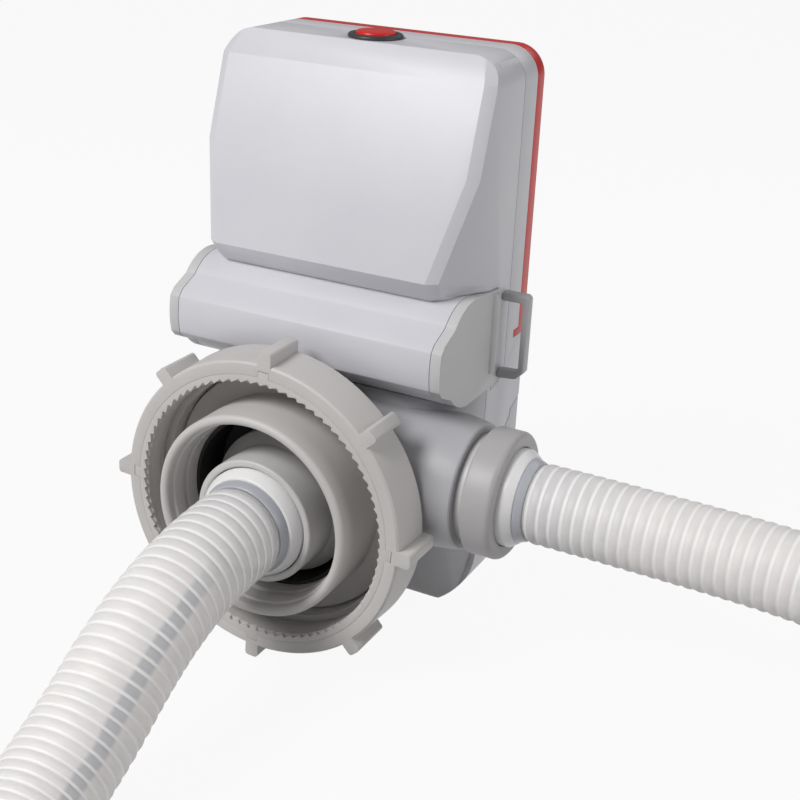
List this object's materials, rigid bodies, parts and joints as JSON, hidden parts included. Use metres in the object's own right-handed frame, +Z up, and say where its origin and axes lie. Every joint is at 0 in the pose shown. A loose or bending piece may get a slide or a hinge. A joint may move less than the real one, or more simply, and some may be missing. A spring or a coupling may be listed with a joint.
{
  "type": "transfer pump",
  "caption": "Battery transfer pump with a ribbed collar nut for a container neck, a coaxial suction port with its hose, and a side outlet with a delivery hose.",
  "frame": {"origin": "on the collar nut's axis, in the plane of its front face; the case's base stands 68 mm below", "axes": "+X to the outlet side, +Y from the collar nut to the back along its axis, +Z up"},
  "size_m": [0.6322, 0.481, 0.2426],
  "materials": {
    "head_plastic": "fine satin",
    "shell_plastic": "fine satin",
    "cap_plastic": "fine satin",
    "red_plastic": "satin",
    "nut_plastic": "satin",
    "port_plastic": "satin",
    "cuff_plastic": "soft sheen",
    "hose_plastic": "milky, see-through",
    "dark_plastic": "satin",
    "seal_rubber": "matt",
    "impeller_plastic": "satin",
    "plate_metal": "brushed",
    "steel": "bright",
    "magnet": "sintered",
    "armature_metal": "laminated, wound",
    "cell_wrap": "film",
    "spring_metal": "plated",
    "board": "lacquered"
  },
  "bodies": {
    "case": {"pump_head": "head_plastic", "front_shell": "shell_plastic", "rear_shell": "shell_plastic", "rear_plate": "shell_plastic", "red_panel": "red_plastic", "battery_barrel": "shell_plastic", "end_cap_left": "cap_plastic", "end_cap_right": "cap_plastic", "strap_loop": "cap_plastic", "centre_tube": "nut_plastic", "neck_seal": "seal_rubber", "neck_liner": "seal_rubber", "suction_port": "port_plastic", "port_seal": "seal_rubber", "suction_cuff": "cuff_plastic", "suction_sleeve": "cuff_plastic", "suction_hose": "hose_plastic", "suction_strainer": "dark_plastic", "outlet_spigot": "port_plastic", "outlet_seal": "seal_rubber", "delivery_cuff": "cuff_plastic", "delivery_sleeve": "cuff_plastic", "delivery_hose": "hose_plastic", "delivery_coil": "hose_plastic", "delivery_fitting": "nut_plastic", "shaft_seal": "seal_rubber", "chamber_plate": "plate_metal", "plate_screws": "steel", "motor_bracket": "plate_metal", "motor_can": "steel", "motor_magnets": "magnet", "motor_end_bell": "dark_plastic", "front_bearing": "steel", "rear_bearing": "steel", "battery_cells": "cell_wrap", "cell_holders": "dark_plastic", "contact_springs": "spring_metal", "circuit_board": "board", "switch_body": "dark_plastic", "button_bezel": "dark_plastic", "case_screws": "steel"},
    "nut": {"collar_nut": "nut_plastic", "snap_ring": "nut_plastic"},
    "union": {"union_collar": "nut_plastic"},
    "rotor": {"impeller": "impeller_plastic", "motor_shaft": "steel", "motor_armature": "armature_metal"},
    "button": {"power_button": "red_plastic"}
  },
  "joints": [
    {"name": "collar_nut_spin", "type": "hinge", "parent": "case", "child": "nut", "pos_m": [0, 0.01, 0], "axis": [0, 1, 0], "continuous": true},
    {"name": "union_collar_spin", "type": "hinge", "parent": "case", "child": "union", "pos_m": [0.08, 0.048, 0.01], "axis": [1, 0, 0], "continuous": true},
    {"name": "rotor_spin", "type": "hinge", "parent": "case", "child": "rotor", "pos_m": [0, 0.07, -0.003], "axis": [0, 1, 0], "continuous": true},
    {"name": "power_button_press", "type": "slide", "parent": "case", "child": "button", "axis": [0, 0, -1], "range_m": [0, 0.002], "stiffness_N_per_m": 800}
  ]
}
